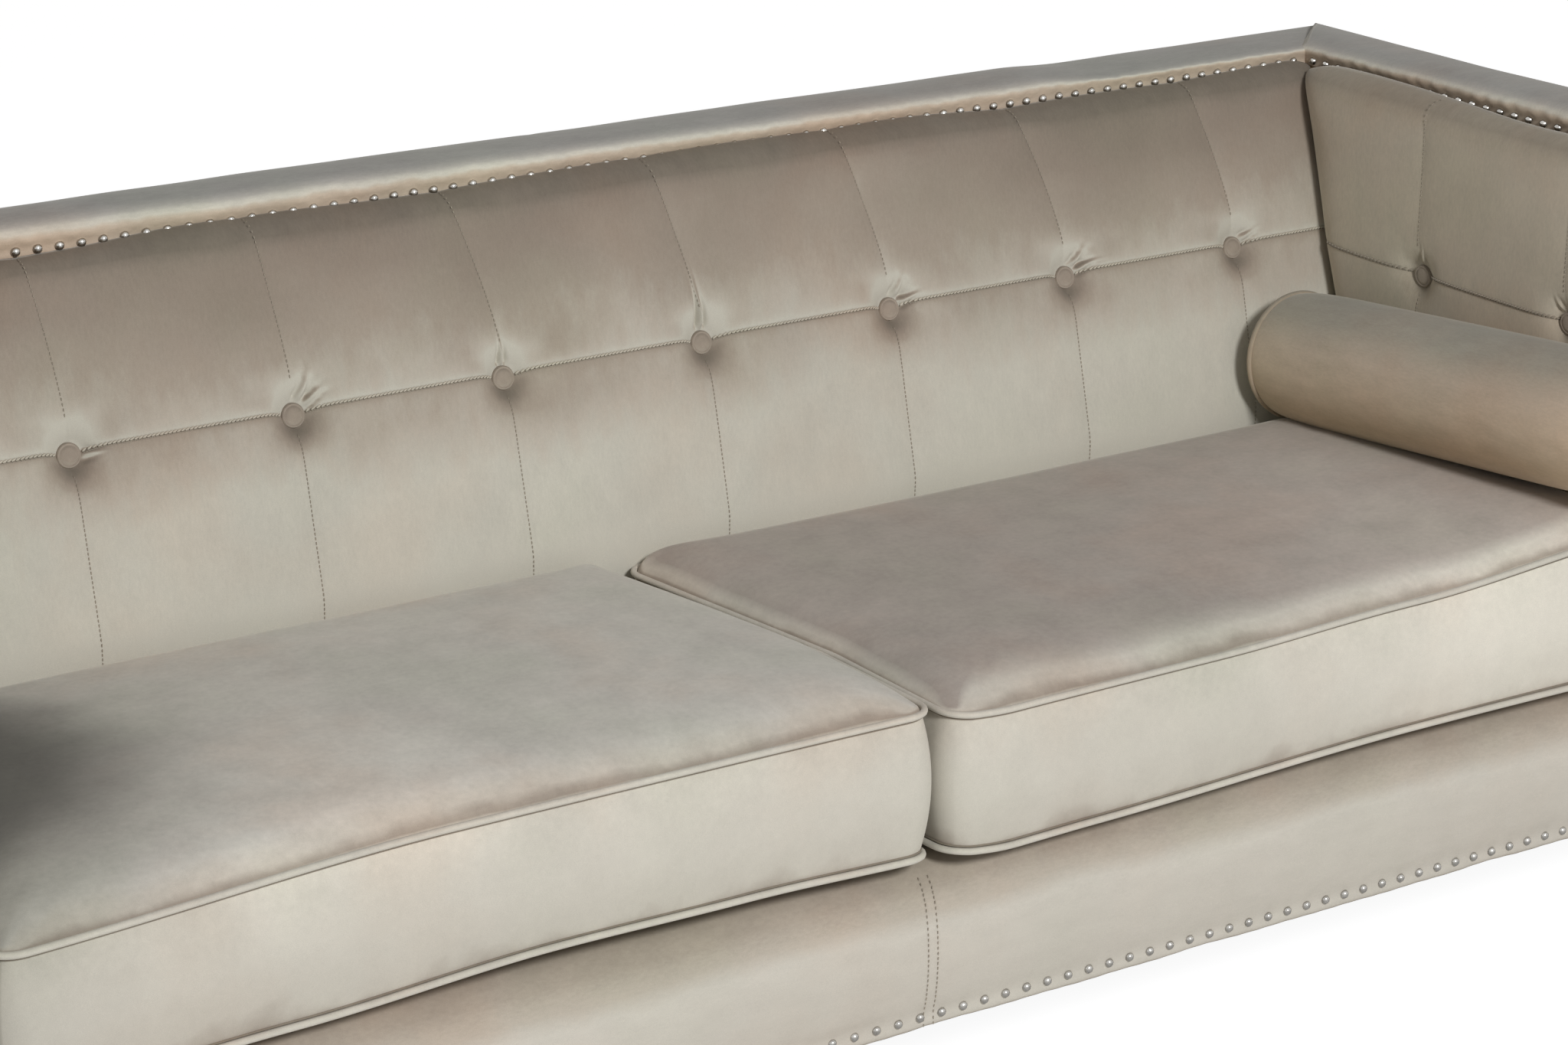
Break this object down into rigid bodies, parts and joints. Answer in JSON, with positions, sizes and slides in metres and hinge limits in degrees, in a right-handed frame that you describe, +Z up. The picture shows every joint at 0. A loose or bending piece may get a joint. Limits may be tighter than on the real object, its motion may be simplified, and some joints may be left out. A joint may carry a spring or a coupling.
{
  "type": "three-seater sofa",
  "caption": "Long low sofa with arms and back of one height, a button-tufted velvet back, padded capping, dome nail trim, loose box seat cushions and a round bolster.",
  "frame": {"origin": "on the floor, under the middle of the sofa's bounding box", "axes": "+X to the right of someone facing the sofa, +Y towards its back, +Z up"},
  "size_m": [2.19, 0.776, 0.845],
  "materials": {
    "velvet": "matte",
    "frame_timber": "matte",
    "leg_wood": "satin",
    "foam": "matte",
    "webbing": "matte",
    "deck_felt": "matte",
    "dust_cloth": "matte",
    "felt": "matte",
    "plate_steel": "satin",
    "nail_metal": "polished"
  },
  "bodies": {
    "frame": {"arm_buttons_left": "velvet", "arm_buttons_right": "velvet", "arm_foam_left": "foam", "arm_foam_right": "foam", "arm_front_panel_left": "velvet", "arm_front_panel_right": "velvet", "arm_roll_left": "velvet", "arm_roll_right": "velvet", "arm_tack_rail_left": "frame_timber", "arm_tack_rail_right": "frame_timber", "arm_top_rail_left": "frame_timber", "arm_top_rail_right": "frame_timber", "arm_webbing": "webbing", "back_buttons": "velvet", "back_foam": "foam", "back_ribs": "frame_timber", "back_roll": "velvet", "back_tack_rail": "frame_timber", "back_top_rail": "frame_timber", "back_webbing": "webbing", "base_back_rail": "frame_timber", "base_front_rail": "frame_timber", "base_side_rail_left": "frame_timber", "base_side_rail_right": "frame_timber", "capping_nails": "nail_metal", "centre_stretcher": "frame_timber", "corner_blocks": "frame_timber", "deck_pad": "deck_felt", "dust_cloth": "dust_cloth", "felt_pads": "felt", "front_nails": "nail_metal", "front_post_left": "frame_timber", "front_post_right": "frame_timber", "front_rail_cover": "velvet", "inside_arm_pad_left": "velvet", "inside_arm_pad_right": "velvet", "inside_back_pad": "velvet", "leg_front_left": "leg_wood", "leg_front_middle": "leg_wood", "leg_front_right": "leg_wood", "leg_plates": "plate_steel", "leg_rear_left": "leg_wood", "leg_rear_middle": "leg_wood", "leg_rear_right": "leg_wood", "outside_arm_cover_left": "velvet", "outside_arm_cover_right": "velvet", "outside_back_cover": "velvet", "rear_post_left": "frame_timber", "rear_post_right": "frame_timber", "seat_webbing": "webbing"},
    "seat_cushion_right": {"seat_cushion_cover_right": "velvet", "seat_cushion_core_right": "foam"},
    "seat_cushion_left": {"seat_cushion_cover_left": "velvet", "seat_cushion_core_left": "foam"},
    "bolster_right": {"bolster_cover_right": "velvet", "bolster_core_right": "foam"}
  },
  "joints": [
    {"name": "seat_cushion_right_lift", "type": "slide", "parent": "frame", "child": "seat_cushion_right", "axis": [0, 0, 1], "range_m": [0, 0.6]},
    {"name": "seat_cushion_left_lift", "type": "slide", "parent": "frame", "child": "seat_cushion_left", "axis": [0, 0, 1], "range_m": [0, 0.6]},
    {"name": "bolster_right_lift", "type": "slide", "parent": "seat_cushion_right", "child": "bolster_right", "axis": [0, 0, 1], "range_m": [0, 0.42]}
  ]
}
